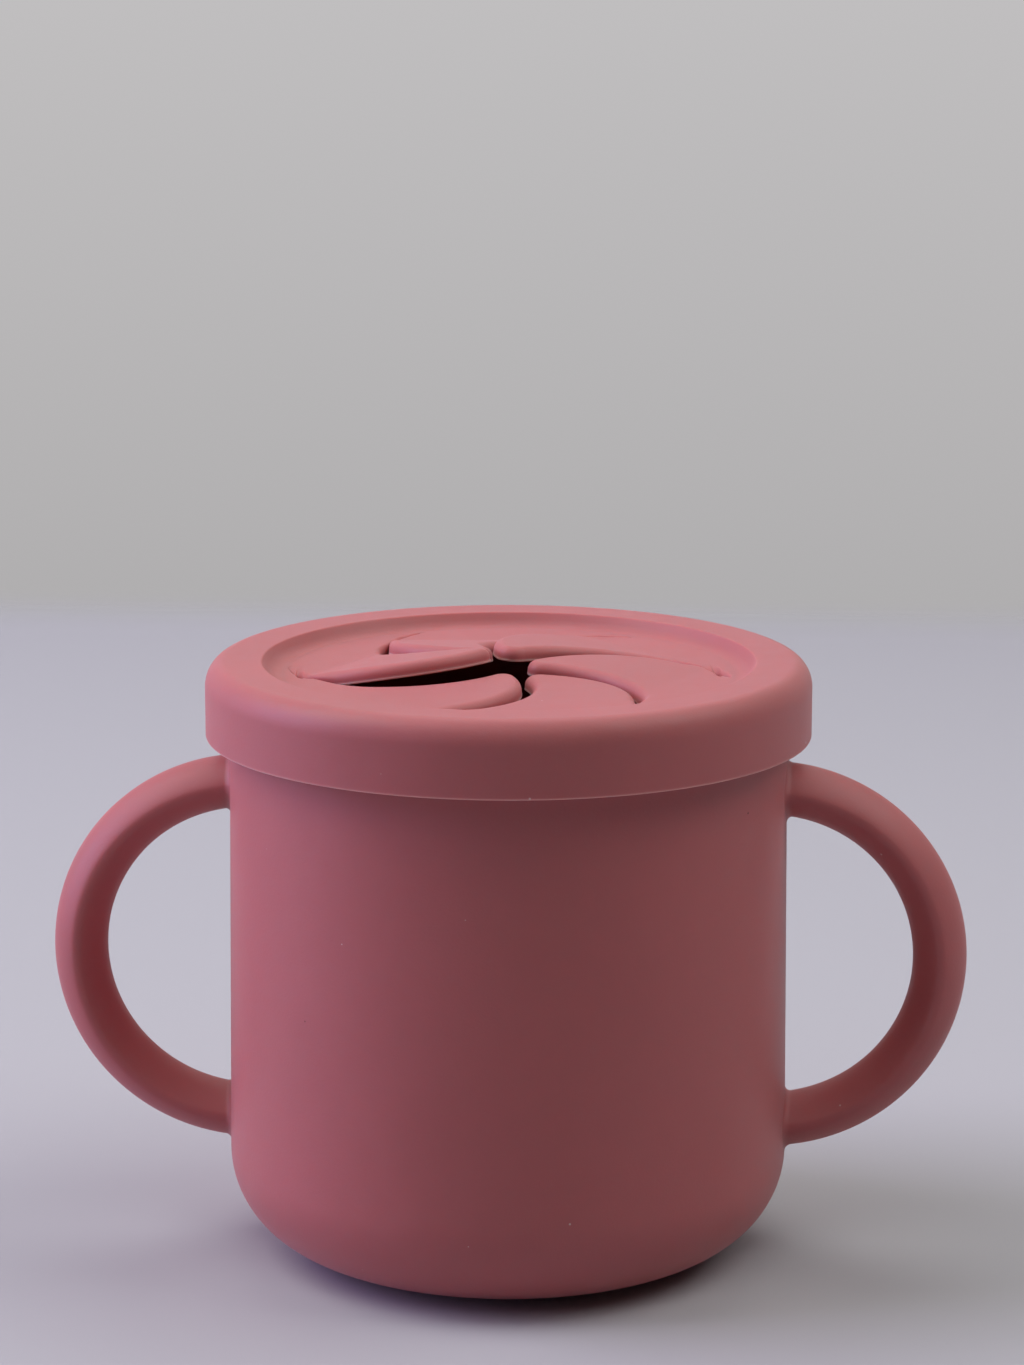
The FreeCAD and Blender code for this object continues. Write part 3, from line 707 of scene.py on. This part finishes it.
def silicone(name, tone, finish):
    """Matte soft-touch silicone: mottled rose tone, pale flash, dust and nicks, fine grain and a dusty sheen."""
    if name in bpy.data.materials:
        return bpy.data.materials[name]
    material = bpy.data.materials.new(name)
    material.use_nodes = True
    tree = material.node_tree
    link = tree.links.new
    shader = tree.nodes["Principled BSDF"]
    place = add(tree, "ShaderNodeTexCoord").outputs["Object"]
    mottle = add(tree, "ShaderNodeGroup", node_tree=shared_group("silicone_mottle", mottle_group))
    mottle.inputs["Tone"].default_value = (*tone, 1)
    mottle.inputs["Depth"].default_value = finish.mottle
    grain = add(tree, "ShaderNodeGroup", node_tree=shared_group("silicone_grain", grain_group))
    dust = add(tree, "ShaderNodeGroup", {"Spread": finish.dust_spread, "Size": finish.dust_size},
               node_tree=shared_group("silicone_specks", speck_group))
    nicks = add(tree, "ShaderNodeGroup", {"Spread": finish.nick_spread, "Size": finish.nick_size},
                node_tree=shared_group("silicone_specks", speck_group))
    flash = add(tree, "ShaderNodeAttribute", attribute_name="flash")
    edged = add(tree, "ShaderNodeMix", {"B": (*finish.flash, 1)}, data_type="RGBA")
    dusted = add(tree, "ShaderNodeMix", {"B": (*finish.dust, 1)}, data_type="RGBA")
    nicked = add(tree, "ShaderNodeMix", {"B": (*finish.nick, 1)}, data_type="RGBA")
    rough = add(tree, "ShaderNodeMapRange", {"From Min": 0.3, "From Max": 0.7,
                                             "To Min": finish.roughness - finish.uneven,
                                             "To Max": finish.roughness + finish.uneven})
    bump = add(tree, "ShaderNodeBump", {"Strength": finish.grain, "Distance": finish.grain_height})
    link(place, mottle.inputs["Position"])
    link(place, grain.inputs["Position"])
    link(place, dust.inputs["Position"])
    link(place, nicks.inputs["Position"])
    link(mottle.outputs["Tone"], edged.inputs["A"])
    link(flash.outputs["Fac"], edged.inputs["Factor"])
    link(edged.outputs["Result"], nicked.inputs["A"])
    link(nicks.outputs["Mask"], nicked.inputs["Factor"])
    link(nicked.outputs["Result"], dusted.inputs["A"])
    link(dust.outputs["Mask"], dusted.inputs["Factor"])
    link(dusted.outputs["Result"], shader.inputs["Base Color"])
    link(mottle.outputs["Cloud"], rough.inputs["Value"])
    link(rough.outputs["Result"], shader.inputs["Roughness"])
    link(grain.outputs["Height"], bump.inputs["Height"])
    link(bump.outputs["Normal"], shader.inputs["Normal"])
    shader.inputs["IOR"].default_value = finish.index
    shader.inputs["Subsurface Weight"].default_value = finish.depth
    shader.inputs["Subsurface Radius"].default_value = finish.scatter
    shader.inputs["Subsurface Scale"].default_value = finish.reach
    shader.inputs["Sheen Weight"].default_value = finish.sheen
    shader.inputs["Sheen Roughness"].default_value = finish.sheen_roughness
    shader.inputs["Sheen Tint"].default_value = (*finish.sheen_tint, 1)
    return material


def cup_silicone():
    """The cup's silicone."""
    finish = bpy.context.scene.mug_silicone
    return silicone("rose_silicone_cup", finish.cup, finish)


def lid_silicone():
    """The lid's silicone."""
    finish = bpy.context.scene.mug_silicone
    return silicone("rose_silicone_lid", finish.lid, finish)


# Operators

class MUG_OT_cup_shell(bpy.types.Operator):
    """Turn the cup's shell from its half section"""
    bl_idname = "mug.cup_shell"
    bl_label = "Cup shell"

    def execute(self, context):
        cup = context.scene.mug_cup
        points = turned(cup_profile(cup), cup.columns)
        piece = new_piece("cup_shell", points, grid_faces(*points.shape[:2]), cup_silicone())
        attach(piece, "cup")
        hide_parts("cup_body")
        return {"FINISHED"}


class MUG_OT_handles(bpy.types.Operator):
    """Carry the two ring handles from wall to wall"""
    bl_idname = "mug.handles"
    bl_label = "Ring handles"

    def execute(self, context):
        points = handle_points(context.scene.mug_cup, context.scene.mug_handles)
        faces = grid_faces(*points.shape[:2])
        for side, way in (("right", 1), ("left", -1)):
            piece = new_piece(f"{side}_handle_ring", points * (way, 1, 1), faces, cup_silicone())
            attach(piece, "cup")
            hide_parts(f"{side}_handle")
        return {"FINISHED"}


class MUG_OT_lid_ring(bpy.types.Operator):
    """Turn the lid's rim from its closed half section"""
    bl_idname = "mug.lid_ring"
    bl_label = "Lid ring"

    def execute(self, context):
        lid, flaps = context.scene.mug_lid, context.scene.mug_flaps
        profile, flash = rim_profile(lid)
        swing = flaps.reach / (2 * math.sin(flaps.turn / 2))
        start = flaps.bearing + flaps.turn / 2 - math.pi / 2 + math.acos(lid.join / (2 * swing))
        points = turned(profile, flaps.columns * FLAPS, start)
        piece = new_piece("lid_ring", points, grid_faces(*points.shape[:2], rows_close=True), lid_silicone(),
                          np.repeat(flash[:, None], points.shape[1], 1))
        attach(piece, "lid")
        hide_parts("lid_rim", "lid_membrane")
        return {"FINISHED"}


class MUG_OT_flaps(bpy.types.Operator):
    """Cut the sunk floor into its six flaps and curl each up to its rest tilt"""
    bl_idname = "mug.flaps"
    bl_label = "Lid flaps"

    def execute(self, context):
        lid, flaps = context.scene.mug_lid, context.scene.mug_flaps
        for index, bend in enumerate(BENDS):
            points, faces, flash = flap_points(lid, flaps, index)
            points = bent(points, lid, flaps, index)
            piece = new_piece(f"lid_flap_{index + 1}", points, faces, lid_silicone(), flash)
            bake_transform(piece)
            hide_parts(bend["child"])
        return {"FINISHED"}


def studio_lamp(name, place, size, watts, tint):
    """A large soft lamp that faces the mug."""
    lamp = bpy.data.lights.new(name, "AREA")
    lamp.shape, lamp.size = "SQUARE", size
    lamp.energy, lamp.color = watts, tint
    holder = bpy.data.objects.new(name, lamp)
    holder.location = place
    holder.rotation_euler = (Vector(LAMP_AIM) - Vector(place)).to_track_quat("-Z", "Y").to_euler()
    bpy.context.scene.collection.objects.link(holder)


def floor_material(studio):
    """A plain pale top, fading out at its far edge."""
    material = bpy.data.materials.new("pale_top")
    material.use_nodes = True
    tree = material.node_tree
    link = tree.links.new
    shader = tree.nodes["Principled BSDF"]
    shader.inputs["Roughness"].default_value = studio.floor_roughness
    shader.inputs["Base Color"].default_value = (*studio.floor, 1)
    place = add(tree, "ShaderNodeTexCoord").outputs["Object"]
    axes = add(tree, "ShaderNodeSeparateXYZ")
    fade = add(tree, "ShaderNodeMapRange",
               {"From Min": studio.floor_depth - studio.floor_fade, "From Max": studio.floor_depth},
               interpolation_type="SMOOTHSTEP")
    clear = add(tree, "ShaderNodeBsdfTransparent")
    both = add(tree, "ShaderNodeMixShader")
    link(place, axes.inputs[0])
    link(axes.outputs["Y"], fade.inputs["Value"])
    link(fade.outputs["Result"], both.inputs["Fac"])
    link(shader.outputs[0], both.inputs[1])
    link(clear.outputs[0], both.inputs[2])
    link(both.outputs[0], tree.nodes["Material Output"].inputs["Surface"])
    return material


def backdrop(studio):
    """A pale world that only the eye and reflections see; all other rays see the even light."""
    world = bpy.data.worlds.new("pale_room")
    bpy.context.scene.world = world
    world.use_nodes = True
    tree = world.node_tree
    link = tree.links.new
    shown = tree.nodes["Background"]
    even = add(tree, "ShaderNodeBackground", {"Color": (1, 1, 1, 1), "Strength": studio.ambient})
    axes = add(tree, "ShaderNodeSeparateXYZ")
    height = add(tree, "ShaderNodeMapRange", {"From Min": studio.blend_low, "From Max": studio.blend_high})
    tone = add(tree, "ShaderNodeMix", {"A": (*studio.backdrop_low, 1), "B": (*studio.backdrop_high, 1)},
               data_type="RGBA")
    path = add(tree, "ShaderNodeLightPath")
    seen = add(tree, "ShaderNodeMath", operation="MAXIMUM")
    either = add(tree, "ShaderNodeMath", operation="MAXIMUM")
    both = add(tree, "ShaderNodeMixShader")
    link(add(tree, "ShaderNodeTexCoord").outputs["Generated"], axes.inputs[0])
    link(axes.outputs["Z"], height.inputs["Value"])
    link(height.outputs["Result"], tone.inputs["Factor"])
    link(tone.outputs["Result"], shown.inputs["Color"])
    link(path.outputs["Is Camera Ray"], seen.inputs[0])
    link(path.outputs["Is Glossy Ray"], seen.inputs[1])
    link(seen.outputs[0], either.inputs[0])
    link(path.outputs["Is Transmission Ray"], either.inputs[1])
    link(either.outputs[0], both.inputs["Fac"])
    link(even.outputs[0], both.inputs[1])
    link(shown.outputs[0], both.inputs[2])
    link(both.outputs[0], tree.nodes["World Output"].inputs["Surface"])


class MUG_OT_studio(bpy.types.Operator):
    """Lay the floor, hang the lamps and set up the camera"""
    bl_idname = "mug.studio"
    bl_label = "Studio"

    def execute(self, context):
        scene, studio = context.scene, context.scene.mug_studio
        side, front, back = studio.floor_side, -studio.floor_front, studio.floor_depth
        mesh = bpy.data.meshes.new("studio_floor")
        mesh.from_pydata([(-side, front, 0), (side, front, 0), (side, back, 0), (-side, back, 0)], [], [(0, 1, 2, 3)])
        mesh.materials.append(floor_material(studio))
        floor = bpy.data.objects.new("studio_floor", mesh)
        scene.collection.objects.link(floor)
        backdrop(studio)
        for name, (place, size) in LAMPS.items():
            tint = studio.low_left_tint if name == "low_left" else WHITE
            studio_lamp(f"lamp_{name}", place, size, getattr(studio, name), tint)
        camera = bpy.data.objects.new("camera", bpy.data.cameras.new("camera"))
        camera.data.lens, camera.data.sensor_width = studio.lens, SENSOR_MM
        camera.data.clip_start, camera.data.clip_end = CLIP_NEAR, CLIP_FAR
        camera.matrix_world = (Matrix.Translation(studio.camera) @ Matrix.Rotation(studio.camera_turn, 4, "Z")
                               @ Matrix.Rotation(studio.camera_pitch, 4, "X")
                               @ Matrix.Rotation(studio.camera_roll, 4, "Z"))
        scene.collection.objects.link(camera)
        scene.camera = camera
        scene.view_settings.view_transform = "Standard"
        return {"FINISHED"}


class MUG_PT_panel(bpy.types.Panel):
    """The mug's pieces and their sizes"""
    bl_idname = "MUG_PT_panel"
    bl_label = "Silicone mug"
    bl_space_type = "VIEW_3D"
    bl_region_type = "UI"
    bl_category = "Mug"

    def draw(self, context):
        for operator in OPERATORS:
            self.layout.operator(operator.bl_idname)
        for name, kind in GROUPS.items():
            box = self.layout.box()
            box.label(text=kind.__doc__.rstrip("."))
            for field in kind.__annotations__:
                box.prop(getattr(context.scene, name), field)


GROUPS = {"mug_cup": MugCup, "mug_handles": MugHandles, "mug_lid": MugLid, "mug_flaps": MugFlaps,
          "mug_silicone": MugSilicone, "mug_studio": MugStudio}
OPERATORS = (MUG_OT_cup_shell, MUG_OT_handles, MUG_OT_lid_ring, MUG_OT_flaps, MUG_OT_studio)


def register():
    """Registers the classes and hangs the settings on the scene."""
    for kind in (*GROUPS.values(), *OPERATORS, MUG_PT_panel):
        bpy.utils.register_class(kind)
    for name, kind in GROUPS.items():
        setattr(bpy.types.Scene, name, PointerProperty(type=kind))


def unregister():
    """Takes the settings and the classes away again."""
    for name in GROUPS:
        delattr(bpy.types.Scene, name)
    for kind in (MUG_PT_panel, *reversed(OPERATORS), *reversed(GROUPS.values())):
        bpy.utils.unregister_class(kind)


def main():
    """Builds the mug and the studio."""
    register()
    bpy.ops.mug.cup_shell()
    bpy.ops.mug.handles()
    bpy.ops.mug.lid_ring()
    bpy.ops.mug.flaps()
    bpy.ops.mug.studio()


if __name__ == "__main__":
    main()
